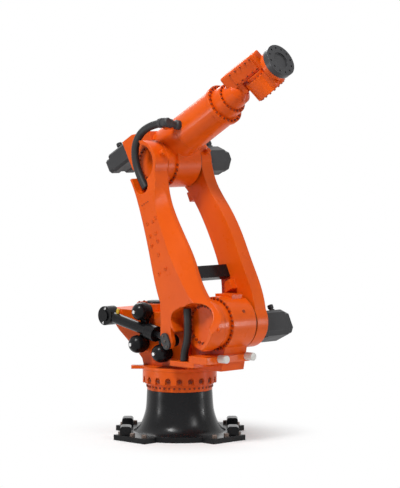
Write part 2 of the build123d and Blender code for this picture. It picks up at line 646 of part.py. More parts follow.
def wrist_arm():
    """Neck on the roll ring, and the arm beside the bend axis."""
    neck_end = roll_end + WRIST_NECK_LENGTH
    neck = round_bar(ARM, roll_end, neck_end, WRIST_NECK_REAR, WRIST_NECK_FRONT)
    neck += round_bar(ARM, neck_end, neck_end + WRIST_NOSE_LENGTH, WRIST_NECK_FRONT, WRIST_NOSE_RADIUS)
    start = roll_end + ARM_START
    length = WRIST_DISTANCE + ARM_REACH - start
    strip = Pos(start + length / 2, 0) * Rectangle(length, 2 * ARM_HALF_WIDTH)
    strip = fillet(strip.vertices().group_by(Axis.X)[-1], ARM_ROUND)
    arm = slab(strip, WRIST, -ARM_OUTER, -ARM_INNER)
    arm = fillet(arm.faces().sort_by(Axis(WRIST.origin, WRIST.z_dir))[-1].edges(), ARM_EDGE)
    root_end = WRIST_DISTANCE - DRUM_RADIUS - ROOT_GAP
    root = Pos((start + root_end) / 2, 0) * Rectangle(root_end - start, 2 * ROOT_HALF_WIDTH)
    return neck + arm + slab(root, WRIST, -ARM_OUTER / 2, ROOT_DEPTH)


def wrist_cover(side):
    """Flat cover on one side of the wrist's arm."""
    centre = WRIST_DISTANCE + ARM_REACH - WRIST_COVER_SETBACK - WRIST_COVER_LENGTH / 2
    beside = side * (ARM_HALF_WIDTH + WRIST_COVER_THICK / 2)
    strip = Pos(centre, beside) * Rectangle(WRIST_COVER_LENGTH, WRIST_COVER_THICK)
    return slab(strip, WRIST, -ARM_OUTER + WRIST_COVER_MARGIN, -ARM_INNER - WRIST_COVER_MARGIN)


def hand_body():
    """Drum on the bend axis, with the bridge that leads to the turning flange."""
    body = disc(WRIST, WRIST_DISTANCE, 0, BEND_GEAR_RADIUS, -ARM_INNER + RUN_GAP, -DRUM_INNER)
    body += disc(WRIST, WRIST_DISTANCE, 0, DRUM_RADIUS, -DRUM_INNER, DRUM_OUTER)
    bridge = Rectangle(HAND_HOUSING_START, 2 * BRIDGE_HALF_WIDTH)
    bridge = Pos(WRIST_DISTANCE + HAND_HOUSING_START / 2, 0) * bridge
    return body + slab(bridge, WRIST, -DRUM_INNER, BRIDGE_OUTER)


def hand_housing():
    """Round housing behind the tool flange."""
    start = WRIST_DISTANCE + HAND_HOUSING_START
    return round_bar(ARM, start, start + HAND_HOUSING_LENGTH, HAND_HOUSING_RADIUS, HAND_HOUSING_RADIUS)


def tool_flange():
    """Tool flange with a ring of holes and a pilot recess."""
    start = WRIST_DISTANCE + flange_start
    end = start + FLANGE_PLATE_THICK
    plate = round_bar(ARM, start, end, FLANGE_PLATE_RADIUS, FLANGE_PLATE_RADIUS)
    plate -= round_bar(ARM, end - PILOT_DEPTH, end, PILOT_RADIUS, PILOT_RADIUS)
    face = Plane(origin=ARM.origin + ARM.x_dir * end, x_dir=(0, 1, 0), z_dir=ARM.x_dir)
    for index in range(FLANGE_HOLE_COUNT):
        hole = Cylinder(FLANGE_HOLE_RADIUS, FLANGE_HOLE_DEPTH, align=(Align.CENTER, Align.CENTER, Align.MAX))
        plate -= face * Rot(0, 0, index * 360 / FLANGE_HOLE_COUNT) * Pos(FLANGE_HOLE_CIRCLE, 0, 0) * hole
    return plate


def hose(points, side, bend):
    """Round hose along straight runs joined by wide bends, in one plane beside the arm."""
    path = WORLD.offset(side) * FilletPolyline(*points, radius=bend)
    section = Plane(origin=path @ 0, z_dir=path % 0) * Circle(HOSE_RADIUS)
    return sweep(section, path=path)


def hose_clamp():
    """Arm on the forearm's near side that holds the end of the upper hose."""
    end = upper_hose_points[-1]
    centre = Vector(end[0], 0, end[1]) - ARM.origin
    along = centre.dot(ARM.x_dir)
    above = centre.dot(ARM.y_dir)
    foot = Pos(along - CLAMP_LENGTH, above - CLAMP_DROP) * Rectangle(CLAMP_LENGTH, CLAMP_HEIGHT)
    body = slab(foot, ARM, -UPPER_HOSE_SIDE, 0)
    body -= forearm_tube()
    return body - upper_hose()


def upper_hose():
    """Hose loop from the forearm's side into the near blade's top pocket."""
    return hose(upper_hose_points, UPPER_HOSE_SIDE, UPPER_HOSE_BEND)


save("base_frame", base_frame())
save("transport_lugs", *transport_lugs())
save("slewing_ring", upright(SLEW_RADIUS, slew_bottom, ring_bottom))
save("column_ring", pocket_ring())
save("column_deck", column_deck())
save("column_body", column_body())
save("shoulder_gear", disc(LINK, 0, 0, GEAR_RADIUS, -near_gear_face, -HOUSING_STEP))
save("shoulder_seal", disc(LINK, 0, 0, HOUSING_RADIUS - SEAL_STEP, far_housing_face, seal_face))
save("balance_pivot_pin", pivot_pin())
save("turn_motor_collar", turn_motor_collar())
save("turn_motor", turn_motor())
save("buffers", *buffers())
save("balance_cylinder", balance_cylinder())
for name, along, above in zip(("upper", "rear", "lower"), BOTTLE_ALONG, BOTTLE_ABOVE):
    save(f"gas_bottle_{name}", gas_bottle(along, above))
save("gas_bottle_valves", *[gas_valve(along, above) for along, above in zip(BOTTLE_ALONG, BOTTLE_ABOVE)])
save("balance_valve_cap", valve_cap())
save("near_blade", near_blade())
save("far_blade", far_blade())
save("cross_beam", cross_beam())
save("ear_pin_cap", ear_cap())
save("shoulder_motor", side_motor(-MOTOR_DROP, MOTOR_BODY_LENGTH, MOTOR_CAP_LENGTH, MOTOR_CHAMFER))
save("elbow_motor", side_motor(LINK_LENGTH, ELBOW_MOTOR_LENGTH, ELBOW_MOTOR_CAP_LENGTH, ELBOW_MOTOR_CHAMFER))
save("elbow_body", elbow_body())
save("elbow_gear", elbow_gear())
save("elbow_seal", disc(ELBOW, 0, 0, ELBOW_RADIUS - SEAL_STEP, far_housing_face, seal_face))
save("forearm_tube", forearm_tube())
save("forearm_front_ring", round_bar(ARM, front_ring_start, front_ring_start + FRONT_RING_LENGTH,
                                     FRONT_RING_RADIUS, FRONT_RING_RADIUS))
save("wrist_motor_near", wrist_motor(-WRIST_MOTOR_SPACING / 2))
save("wrist_motor_far", wrist_motor(WRIST_MOTOR_SPACING / 2))
save("hose_clamp", hose_clamp())
save("upper_hose", upper_hose())
save("lower_hose", hose(lower_hose_points, LOWER_HOSE_SIDE, LOWER_HOSE_BEND))
save("wrist_roll_ring", round_bar(ARM, roll_start, roll_end, ROLL_RING_REAR, ROLL_RING_FRONT))
save("wrist_arm", wrist_arm())
save("wrist_covers", wrist_cover(-1), wrist_cover(1))
save("hand_body", hand_body())
save("hand_housing", hand_housing())
save("tool_flange", tool_flange())
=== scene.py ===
import json
import math

import bmesh
import bpy
from mathutils import Matrix, Vector


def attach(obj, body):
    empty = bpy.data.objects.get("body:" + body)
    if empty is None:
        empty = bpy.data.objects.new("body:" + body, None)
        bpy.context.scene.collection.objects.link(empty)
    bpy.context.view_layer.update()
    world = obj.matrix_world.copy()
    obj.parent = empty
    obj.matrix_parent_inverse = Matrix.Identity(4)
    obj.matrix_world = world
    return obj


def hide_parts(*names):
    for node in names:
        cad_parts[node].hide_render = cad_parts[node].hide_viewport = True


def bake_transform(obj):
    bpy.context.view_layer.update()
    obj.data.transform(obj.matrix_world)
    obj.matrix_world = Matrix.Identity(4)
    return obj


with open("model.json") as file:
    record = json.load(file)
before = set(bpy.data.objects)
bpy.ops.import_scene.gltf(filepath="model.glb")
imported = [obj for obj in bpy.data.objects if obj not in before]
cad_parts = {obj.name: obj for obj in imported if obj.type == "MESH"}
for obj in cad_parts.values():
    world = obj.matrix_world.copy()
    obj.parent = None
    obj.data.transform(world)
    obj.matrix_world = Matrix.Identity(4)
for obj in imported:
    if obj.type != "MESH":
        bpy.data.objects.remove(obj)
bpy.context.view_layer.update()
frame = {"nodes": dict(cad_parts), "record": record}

nodes = frame["nodes"]
scene = bpy.context.scene

# Lengths are in metres. The robot's own axes, as the solids have them
AHEAD = Vector((1.0, 0.0, 0.0))
NEAR = Vector((0.0, -1.0, 0.0))
FAR = Vector((0.0, 1.0, 0.0))
UP = Vector((0.0, 0.0, 1.0))
LEAN = math.radians(25.5)
TILT = math.radians(29.4)
ROLL = math.radians(60.0)
LINK_LENGTH = 1.300
ARM_RISE = 0.095
EAR_REAR = 0.307
SHOULDER = Vector((0.450, 0.0, 0.875))
LINK_UP = Vector((-math.sin(LEAN), 0.0, math.cos(LEAN)))
LINK_FRONT = Vector((math.cos(LEAN), 0.0, math.sin(LEAN)))
ELBOW = SHOULDER + LINK_LENGTH * LINK_UP
ARM_OUT = Vector((math.cos(TILT), 0.0, math.sin(TILT)))
ARM_UP = Vector((-math.sin(TILT), 0.0, math.cos(TILT)))
ARM = ELBOW + ARM_RISE * ARM_UP
WRIST_SIDE = math.cos(ROLL) * NEAR + math.sin(ROLL) * ARM_UP
WRIST_ACROSS = WRIST_SIDE.cross(ARM_OUT)
PIVOT = Vector((-0.520, 0.0, 0.884))
EAR = SHOULDER - EAR_REAR * LINK_FRONT
BALANCE_OUT = (EAR - PIVOT).normalized()
BALANCE_UP = Vector((-BALANCE_OUT.z, 0.0, BALANCE_OUT.x))


def on_link(forward, along, side):
    """A point of the link: forward of its axis line, along it from the shoulder, and its Y."""
    return SHOULDER + forward * LINK_FRONT + along * LINK_UP + Vector((0.0, side, 0.0))


def on_arm(along, above, side):
    """A point of the forearm: along its axis from above the elbow, above it, and its Y."""
    return ARM + along * ARM_OUT + above * ARM_UP + Vector((0.0, side, 0.0))


def on_wrist(along, across, beside):
    """A point of the rolled wrist: along the forearm's axis, across it, and out along the bend axis."""
    return ARM + along * ARM_OUT + across * WRIST_ACROSS + beside * WRIST_SIDE


def ring_of(centre, axis, across, radius, count):
    """Points on a circle about an axis, counted from the direction across."""
    other = axis.cross(across)
    points = []
    for index in range(count):
        angle = math.radians(360.0 * index / count)
        points.append(centre + radius * (math.cos(angle) * across + math.sin(angle) * other))
    return points


# Materials: each noise is its scale and detail, each range the values that it is stretched between
NOISE_ROUGHNESS = 0.55
DRIFT_NOISE = (2.2, 5.0)
DRIFT_RANGE = (0.35, 0.68)
GLOSS_NOISE = (11.0, 7.0)
GLOSS_RANGE = (0.3, 0.7)
GLOSS_LESS = 0.06
GLOSS_MORE = 0.10
# The edge mark: noise that breaks it up, and how far edges go to the lighter edge colour, which is partly
# worn paint and partly a painted highlight
WEAR_AND_HIGHLIGHT_NOISE = (38.0, 6.0)
WEAR_AND_HIGHLIGHT_RANGE = (0.46, 0.62)
WEAR_AND_HIGHLIGHT_AMOUNT = 0.40
EDGE_RANGE = (0.995, 0.80)
EDGE_SAMPLES = 6
GRAIN_DETAIL = 2.0
GRAIN_STRENGTH = 0.35
COAT_ROUGHNESS = 0.12
WHITE = (1.0, 1.0, 1.0)


def link_socket(tree, source, target):
    tree.links.new(source, target)


def new_tree(name):
    """A fresh material with its node tree and shader node."""
    material = bpy.data.materials.new(name)
    material.use_nodes = True
    tree = material.node_tree
    return material, tree, tree.nodes["Principled BSDF"]


def noise(tree, coordinates, scale, detail):
    """A noise texture in the object's own coordinates."""
    texture = tree.nodes.new("ShaderNodeTexNoise")
    texture.inputs["Scale"].default_value = scale
    texture.inputs["Detail"].default_value = detail
    texture.inputs["Roughness"].default_value = NOISE_ROUGHNESS
    link_socket(tree, coordinates.outputs["Object"], texture.inputs["Vector"])
    return texture.outputs["Fac"]


def ramp(tree, source, span, low_value=0.0, high_value=1.0):
    """Maps a span of a texture's values to a range of values, clamped."""
    mapping = tree.nodes.new("ShaderNodeMapRange")
    mapping.inputs["From Min"].default_value, mapping.inputs["From Max"].default_value = span
    mapping.inputs["To Min"].default_value = low_value
    mapping.inputs["To Max"].default_value = high_value
    link_socket(tree, source, mapping.inputs["Value"])
    return mapping.outputs["Result"]


def combine(tree, operation, first, second):
    """A sum, product or the like of two sockets."""
    node = tree.nodes.new("ShaderNodeMath")
    node.operation = operation
    link_socket(tree, first, node.inputs[0])
    link_socket(tree, second, node.inputs[1])
    return node.outputs["Value"]


def mix_colour(tree, factor, first, second):
    """Mixes a colour or a socket with a plain colour by a factor."""
    mixer = tree.nodes.new("ShaderNodeMix")
    mixer.data_type = "RGBA"
    link_socket(tree, factor, mixer.inputs["Factor"])
    if isinstance(first, tuple):
        mixer.inputs["A"].default_value = (*first, 1.0)
    else:
        link_socket(tree, first, mixer.inputs["A"])
    mixer.inputs["B"].default_value = (*second, 1.0)
    return mixer.outputs["Result"]


def edge_mask(tree, radius, coordinates):
    """Where the surface turns sharply, broken up by noise, and the softened normal it comes from."""
    bevel = tree.nodes.new("ShaderNodeBevel")
    bevel.samples = EDGE_SAMPLES
    bevel.inputs["Radius"].default_value = radius
    geometry = tree.nodes.new("ShaderNodeNewGeometry")
    dot = tree.nodes.new("ShaderNodeVectorMath")
    dot.operation = "DOT_PRODUCT"
    link_socket(tree, bevel.outputs["Normal"], dot.inputs[0])
    link_socket(tree, geometry.outputs["Normal"], dot.inputs[1])
    turned = ramp(tree, dot.outputs["Value"], EDGE_RANGE)
    broken = ramp(tree, noise(tree, coordinates, *WEAR_AND_HIGHLIGHT_NOISE), WEAR_AND_HIGHLIGHT_RANGE)
    return combine(tree, "MULTIPLY", turned, broken), bevel.outputs["Normal"]


def surface(name, colour, shade, worn_and_highlight, rough, metal=0.0, coat=0.0, shine=0.5, grain=420.0, depth=0.00025,
            radius=0.004):
    """Paint, metal or plastic: drifting colour, edges lightened as worn paint and as a painted highlight,
    uneven gloss and a fine grain.
    """
    material, tree, shader = new_tree(name)
    coordinates = tree.nodes.new("ShaderNodeTexCoord")
    drift = ramp(tree, noise(tree, coordinates, *DRIFT_NOISE), DRIFT_RANGE)
    body = mix_colour(tree, drift, colour, shade)
    mask, soft_normal = edge_mask(tree, radius, coordinates)
    # Edges are mixed towards a lighter colour: partly worn paint, partly a painted highlight along the edges
    wear_and_highlight = ramp(tree, mask, (0.0, 1.0), 0.0, WEAR_AND_HIGHLIGHT_AMOUNT)
    link_socket(tree, mix_colour(tree, wear_and_highlight, body, worn_and_highlight), shader.inputs["Base Color"])
    gloss = noise(tree, coordinates, *GLOSS_NOISE)
    spread = ramp(tree, gloss, GLOSS_RANGE, rough - GLOSS_LESS, rough + GLOSS_MORE)
    link_socket(tree, spread, shader.inputs["Roughness"])
    bump = tree.nodes.new("ShaderNodeBump")
    bump.inputs["Strength"].default_value = GRAIN_STRENGTH
    bump.inputs["Distance"].default_value = depth
    link_socket(tree, noise(tree, coordinates, grain, GRAIN_DETAIL), bump.inputs["Height"])
    link_socket(tree, soft_normal, bump.inputs["Normal"])
    link_socket(tree, bump.outputs["Normal"], shader.inputs["Normal"])
    shader.inputs["Metallic"].default_value = metal
    shader.inputs["Specular IOR Level"].default_value = shine
    shader.inputs["Coat Weight"].default_value = coat
    shader.inputs["Coat Roughness"].default_value = COAT_ROUGHNESS
    return material


# Each look: its colour, a second tone it drifts to at random, and a lighter edge colour that is partly worn
# paint and partly a painted highlight
LOOKS = {
    "orange_paint": surface("orange_paint", (0.82, 0.112, 0.004), (0.72, 0.088, 0.003), (0.90, 0.27, 0.05),
                            0.30, coat=0.05, shine=0.15, grain=260.0, radius=0.010),
    "black_paint": surface("black_paint", (0.005, 0.005, 0.006), (0.009, 0.009, 0.010), (0.06, 0.06, 0.06),
                           0.24, shine=0.16, grain=180.0, depth=0.0001),
    "dark_motor": surface("dark_motor", (0.024, 0.024, 0.026), (0.036, 0.036, 0.038), (0.12, 0.12, 0.12),
                          0.46, shine=0.3, grain=320.0, depth=0.0004),
    "dark_steel": surface("dark_steel", (0.035, 0.035, 0.038), (0.055, 0.055, 0.058), (0.20, 0.20, 0.20),
                          0.40, metal=0.6, grain=520.0),
    "white_buffer": surface("white_buffer", (0.78, 0.77, 0.73), (0.68, 0.67, 0.62), (0.86, 0.86, 0.84),
                            0.55, grain=300.0),
    "hose_rubber": surface("hose_rubber", (0.014, 0.014, 0.015), (0.026, 0.026, 0.027), (0.07, 0.07, 0.07),
                           0.50, shine=0.3, grain=700.0, radius=0.001),
    "bright_steel": surface("bright_steel", (0.52, 0.52, 0.52), (0.42, 0.42, 0.42), (0.70, 0.70, 0.70),
                            0.32, metal=1.0, grain=900.0, radius=0.001),
    "yellow_cap": surface("yellow_cap", (0.78, 0.50, 0.02), (0.68, 0.42, 0.02), (0.88, 0.66, 0.2),
                          0.48, grain=500.0, radius=0.001),
    # Screw paint: the bodies' orange, darkened as a painted shade of the gaps and sockets round the screws
    "shaded_screw_paint": surface("shaded_screw_paint", (0.30, 0.042, 0.005), (0.24, 0.034, 0.004), (0.62, 0.10, 0.01),
                             0.38, shine=0.3, grain=500.0, radius=0.001),
    "bolt_steel": surface("bolt_steel", (0.10, 0.075, 0.065), (0.16, 0.12, 0.10), (0.35, 0.33, 0.31),
                          0.40, metal=0.8, grain=900.0, radius=0.0008),
}

for part in frame["record"]["subparts"]:
    solid = nodes[part["node"]]
    solid.data.materials.clear()
    solid.data.materials.append(LOOKS[part["material_slot"]])


# Screw heads and plug sockets: shares of their radius and height
SCREW_SIDES = 12
SOCKET_SHARE = 0.52
SOCKET_FLOOR_SHARE = 0.4
CHAMFER_SHARE = 0.86
RIM_SHARE = 0.82
SCREW_SINK = 0.001
PLUG_SIDES = 24
PLUG_SHARES = ((1.0, -0.05), (1.0, 0.22), (0.72, 0.28), (0.72, 0.46), (0.95, 0.50), (0.95, 0.64),
               (0.86, 0.67), (0.86, 0.70), (0.95, 0.73), (0.95, 0.90), (0.80, 1.0), (0.30, 1.0))
HEX_FLAT = math.cos(math.pi / 6)


def frame_along(axis, centre):
    """A placement whose z points along axis."""
    return Matrix.Translation(centre) @ axis.to_track_quat("Z", "Y").to_matrix().to_4x4()


def skin(shape, loops):
    """Joins loops of vertices into a closed skin with flat ends."""
    for lower, upper in zip(loops, loops[1:]):
        for side in range(len(lower)):
            after = (side + 1) % len(lower)
            shape.faces.new((lower[side], lower[after], upper[after], upper[side]))
    shape.faces.new(loops[-1])
    shape.faces.new(list(reversed(loops[0])))


def add_screw(shape, centre, axis, size, socket=True):
    """A round head, with a hexagon socket or plain, standing on a face at centre and pointing along axis."""
    place = frame_along(axis, centre)
    radius, height = size
    rings = [(radius, -SCREW_SINK, False), (radius, RIM_SHARE * height, False),
             (CHAMFER_SHARE * radius, height, False)]
    if socket:
        rings += [(SOCKET_SHARE * radius, height, True),
                  (SOCKET_SHARE * radius, SOCKET_FLOOR_SHARE * height, True)]
    loops = []
    for reach, up, hexagon in rings:
        loop = []
        for side in range(SCREW_SIDES):
            angle = 2 * math.pi * side / SCREW_SIDES
            out = reach * (HEX_FLAT if hexagon and side % 2 else 1.0)
            spot = Vector((out * math.cos(angle), out * math.sin(angle), up))
            loop.append(shape.verts.new(place @ spot))
        loops.append(loop)
    skin(shape, loops)


def add_plug(shape, centre, axis, radius, height):
    """A round plug socket: a wide foot, a waist and a ribbed collar."""
    place = frame_along(axis, centre)
    loops = []
    for share, up in PLUG_SHARES:
        loop = []
        for side in range(PLUG_SIDES):
            angle = 2 * math.pi * side / PLUG_SIDES
            spot = Vector((share * radius * math.cos(angle), share * radius * math.sin(angle), up * height))
            loop.append(shape.verts.new(place @ spot))
        loops.append(loop)
    skin(shape, loops)


def mesh_object(name, shape, look):
    """Turns a finished bmesh into an object with one material."""
    mesh = bpy.data.meshes.new(name)
    bmesh.ops.recalc_face_normals(shape, faces=shape.faces)
    shape.to_mesh(mesh)
    shape.free()
    mesh.materials.append(LOOKS[look])
    thing = bpy.data.objects.new(name, mesh)
    scene.collection.objects.link(thing)
    return thing


def piece(name, shape, body, look):
    """Turns a finished bmesh into an object that rides on a body."""
    thing = mesh_object(name, shape, look)
    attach(thing, body)


# By default the screws take the darkened orange screw paint, which holds a painted shade
def screws(name, body, groups, look="shaded_screw_paint"):
    """One object with many screws of a body: groups of points, axis and size."""
    shape = bmesh.new()
    for points, axis, size in groups:
        for point in points:
            add_screw(shape, point, axis, size)
    piece(name, shape, body, look)


# Base and column: screw sizes are radius and height
FEET = 4
ANCHOR_REACH = 0.490
ANCHOR_SIDES = (-0.125, 0.0, 0.125)
FOOT_TOP = 0.040
ANCHOR_SCREW = (0.020, 0.024)
POCKET_COUNT = 20
POCKET_RADIUS = 0.2545
POCKET_Z = 0.429
POCKET_SCREW = (0.015, 0.016)
SLEW_COUNT = 40
SLEW_RADIUS = 0.2450
SLEW_Z = 0.377
SLEW_SCREW = (0.008, 0.006)
HOUSING_FACE = 0.085
HOUSING_CIRCLE = 0.188
HOUSING_COUNT = 32
HOUSING_SCREW = (0.0095, 0.011)
HOUSING_RADIUS = 0.200
HOUSING_PLUG_ANGLE = 0.5
HOUSING_PLUG_SIDE = 0.040
HOUSING_PLUG = (0.013, 0.005)
COLLAR_TOP = Vector((-0.250, 0.0, 0.985))
COLLAR_CIRCLE = 0.135
COLLAR_COUNT = 12
COLLAR_SCREW = (0.008, 0.007)
PLATE_OFFSET = Vector((0.0, 0.070, 0.196))
PLATE_SIZE = (0.170, 0.120, 0.034)


def base_screws():
    """Anchor screws on the feet."""
    points = []
    for foot in range(FEET):
        turn = Matrix.Rotation(foot * 2 * math.pi / FEET, 3, "Z")
        points += [turn @ Vector((ANCHOR_REACH, side, FOOT_TOP)) for side in ANCHOR_SIDES]
    screws("base_anchor_screws", "base", [(points, UP, ANCHOR_SCREW)], "bolt_steel")


def radial_groups(count, first, radius, height, size):
    """Screws round the turning axis that point outward, the first at a share of the step between them."""
    groups = []
    for index in range(count):
        angle = math.radians((index + first) * 360.0 / count)
        outward = Vector((math.cos(angle), math.sin(angle), 0.0))
        groups.append(([outward * radius + Vector((0.0, 0.0, height))], outward, size))
    return groups


def column_screws():
    """Screws in the ring's pockets, round the slewing ring, on the shoulder housing and round the motor."""
    groups = radial_groups(POCKET_COUNT, 0.5, POCKET_RADIUS, POCKET_Z, POCKET_SCREW)
    groups += radial_groups(SLEW_COUNT, 0.0, SLEW_RADIUS, SLEW_Z, SLEW_SCREW)
    housing = ring_of(SHOULDER + HOUSING_FACE * NEAR, NEAR, AHEAD, HOUSING_CIRCLE, HOUSING_COUNT)
    groups.append((housing, NEAR, HOUSING_SCREW))
    outward = Vector((math.cos(HOUSING_PLUG_ANGLE), 0.0, math.sin(HOUSING_PLUG_ANGLE)))
    plug = SHOULDER + HOUSING_RADIUS * outward + HOUSING_PLUG_SIDE * FAR
    groups.append(([plug], outward, HOUSING_PLUG))
    collar = ring_of(COLLAR_TOP, UP, AHEAD, COLLAR_CIRCLE, COLLAR_COUNT)
    groups.append((collar, UP, COLLAR_SCREW))
    screws("column_screws", "column", groups)


def stop_plate():
    """The flat plate on top of the shoulder housing."""
    shape = bmesh.new()
    place = Matrix.Translation(SHOULDER + PLATE_OFFSET)
    bmesh.ops.create_cube(shape, size=1.0, matrix=place @ Matrix.Diagonal((*PLATE_SIZE, 1.0)))
    piece("stop_plate", shape, "column", "orange_paint")


# Link: places on the blades are forward of the link's axis line, along it, and a Y
BLADE_FACE = -0.305
HUB_FACE = 0.190
HUB_CIRCLE = 0.138
HUB_COUNT = 24
HUB_SCREW = (0.011, 0.012)
TOP_HUB_FACE = -0.196
TOP_HUB_CIRCLE = 0.116
TOP_HUB_COUNT = 22
TOP_HUB_SCREW = (0.009, 0.010)
ROW_FORWARD = (-0.113, -0.090, -0.067, -0.045)
ROW_ALONG = 1.006
ROW_SCREW = (0.005, 0.003)
EAR_CAP_FACE = 0.323
EAR_CAP_SPREAD = (-0.042, 0.0, 0.042)
EAR_CAP_SCREW = (0.008, 0.007)
SHOULDER_MOTOR_ALONG = -0.058
MOTOR_FLANGE_FACE = 0.335
MOTOR_FORWARD = (-0.094, 0.094)
MOTOR_ALONG = (-0.064, 0.064)
MOTOR_SCREW = (0.008, 0.008)
BOSS_SPOTS = ((-0.123, 0.861), (-0.060, 0.855), (-0.020, 0.870), (-0.133, 0.768), (-0.068, 0.765),
              (-0.148, 0.697), (-0.074, 0.704), (-0.110, 0.611), (-0.164, 0.479), (-0.085, 0.488))
BOSS_SIZE = (0.013, 0.006)
PLUG_FORWARD = 0.158
PLUG_SIDE = 0.235
NEAR_PLUG = (0.020, 0.042)
FAR_PLUG = (0.022, 0.048)
LOW_PLUG = (0.015, 0.026)
LOW_PLUG_RADIUS = 0.185
LOW_PLUG_DROP = 0.1


def link_screws():
    """Screws in the near blade's two hubs and in a short row on its flat face."""
    hub = ring_of(SHOULDER + HUB_FACE * NEAR, NEAR, LINK_FRONT, HUB_CIRCLE, HUB_COUNT)
    top = on_link(0.0, LINK_LENGTH, TOP_HUB_FACE)
    top_hub = ring_of(top, NEAR, LINK_FRONT, TOP_HUB_CIRCLE, TOP_HUB_COUNT)
    row = [on_link(forward, ROW_ALONG, BLADE_FACE) for forward in ROW_FORWARD]
    groups = [(hub, NEAR, HUB_SCREW), (top_hub, NEAR, TOP_HUB_SCREW), (row, NEAR, ROW_SCREW)]
    screws("link_screws", "link", groups)


def motor_screws():
    """Screws on the ear cap and on the flanges of the two side motors."""
    ear = [EAR + EAR_CAP_FACE * NEAR + up * LINK_UP for up in EAR_CAP_SPREAD]
    groups = [(ear, NEAR, EAR_CAP_SCREW)]
    for middle in (SHOULDER_MOTOR_ALONG, LINK_LENGTH):
        corners = []
        for forward in MOTOR_FORWARD:
            corners += [on_link(forward, middle + along, MOTOR_FLANGE_FACE) for along in MOTOR_ALONG]
        groups.append((corners, FAR, MOTOR_SCREW))
    screws("motor_screws", "link", groups, "bolt_steel")


def blade_bosses():
    """Cast bosses with holes on the near blade's flat face, where cable clips can be screwed on."""
    spots = [on_link(forward, along, BLADE_FACE) for forward, along in BOSS_SPOTS]
    screws("blade_bosses", "link", [(spots, NEAR, BOSS_SIZE)], "orange_paint")


def blade_plugs():
    """Round plugs on the front of the near blade's two hubs and of the far blade's upper hub."""
    ahead = Vector((math.cos(LOW_PLUG_DROP), 0.0, -math.sin(LOW_PLUG_DROP)))
    shape = bmesh.new()
    add_screw(shape, on_link(PLUG_FORWARD, LINK_LENGTH, -PLUG_SIDE), LINK_FRONT, NEAR_PLUG, socket=False)
    add_screw(shape, on_link(PLUG_FORWARD, LINK_LENGTH, PLUG_SIDE), LINK_FRONT, FAR_PLUG, socket=False)
    low = SHOULDER + LOW_PLUG_RADIUS * ahead + PLUG_SIDE * NEAR
    add_screw(shape, low, ahead, LOW_PLUG, socket=False)
    piece("blade_plugs", shape, "link", "orange_paint")


# Plug sockets of the motors: their height over the motor's axis, and where they stand on it
SOCKET_RADIUS = 0.024
SOCKET_HEIGHT = 0.052
SIDE_MOTOR_TOP = 0.100
SHOULDER_SOCKETS = ((-0.035, 0.455), (0.035, 0.515))
ELBOW_SOCKETS = ((-0.016, 0.400), (0.016, 0.462))
WRIST_MOTOR_ALONG = -0.345
WRIST_MOTOR_HEIGHT = 0.224
WRIST_MOTOR_TOP = 0.073
WRIST_MOTOR_SIDES = (-0.076, 0.076)


def plug_sockets(name, body, points, axis):
    """Plug sockets on the motors of one body."""
    shape = bmesh.new()
    for point in points:
        add_plug(shape, point, axis, SOCKET_RADIUS, SOCKET_HEIGHT)
    piece(name, shape, body, "dark_motor")


def motor_connectors():
    """Two plug sockets on top of each side motor and one on each wrist motor."""
    sides = [on_link(w, SHOULDER_MOTOR_ALONG + SIDE_MOTOR_TOP, y) for w, y in SHOULDER_SOCKETS]
    sides += [on_link(w, LINK_LENGTH + SIDE_MOTOR_TOP, y) for w, y in ELBOW_SOCKETS]
    plug_sockets("side_motor_connectors", "link", sides, LINK_UP)
    above = WRIST_MOTOR_HEIGHT - ARM_RISE + WRIST_MOTOR_TOP
    rear = [on_arm(WRIST_MOTOR_ALONG, above, y) for y in WRIST_MOTOR_SIDES]
    plug_sockets("wrist_motor_connectors", "forearm", rear, ARM_UP)


# Balancing cylinder, forearm, wrist and hand
TAIL_FACE = 0.286
TAIL_SPREAD = 0.055
TAIL_SCREW = (0.009, 0.008)
FRONT_RING_ALONG = 0.720
FRONT_RING_CIRCLE = 0.142
FRONT_RING_COUNT = 24
FRONT_RING_SCREW = (0.0085, 0.009)
ELBOW_FACE = 0.085
ELBOW_CIRCLE = 0.179
ELBOW_COUNT = 32
ELBOW_CLEAR = -0.075
ELBOW_SCREW = (0.0085, 0.010)
ROLL_RING_ALONG = 0.8064
ROLL_RING_CIRCLE = 0.1085
ROLL_RING_COUNT = 20
ROLL_RING_SCREW = (0.0075, 0.008)
COVER_ALONG = (0.973, 1.030, 1.087, 1.144, 1.193)
COVER_BESIDE = (0.060, 0.146)
COVER_FACE = 0.058
COVER_SCREW = (0.0065, 0.006)
BEND_ALONG = 1.130
DRUM_FACE = 0.012
DRUM_CIRCLE = 0.109
DRUM_COUNT = 24
DRUM_SCREW = (0.0075, 0.008)
DRUM_BACK = -0.132
DRUM_BACK_CIRCLE = 0.105
DRUM_BACK_COUNT = 16
DRUM_BACK_SCREW = (0.008, 0.008)
FLANGE_BACK_ALONG = 1.268
FLANGE_BACK_CIRCLE = 0.101
FLANGE_BACK_COUNT = 20
FLANGE_BACK_CLEAR = 0.024
FLANGE_BACK_SCREW = (0.0075, 0.009)


def balance_screws():
    """Two screws on the cylinder's tail head."""
    points = [PIVOT + TAIL_FACE * NEAR + side * TAIL_SPREAD * BALANCE_UP for side in (-1, 1)]
    screws("balance_screws", "balance", [(points, NEAR, TAIL_SCREW)], "bright_steel")


def forearm_screws():
    """Screws on the front ring's face, and round the elbow flange below the tube."""
    front = ring_of(on_arm(FRONT_RING_ALONG, 0.0, 0.0), ARM_OUT, FAR, FRONT_RING_CIRCLE, FRONT_RING_COUNT)
    ring = ring_of(ELBOW + ELBOW_FACE * NEAR, NEAR, ARM_OUT, ELBOW_CIRCLE, ELBOW_COUNT)
    clear = [point for point in ring if (point - ELBOW).dot(ARM_UP) < ELBOW_CLEAR]
    screws("forearm_screws", "forearm", [(front, ARM_OUT, FRONT_RING_SCREW), (clear, NEAR, ELBOW_SCREW)])


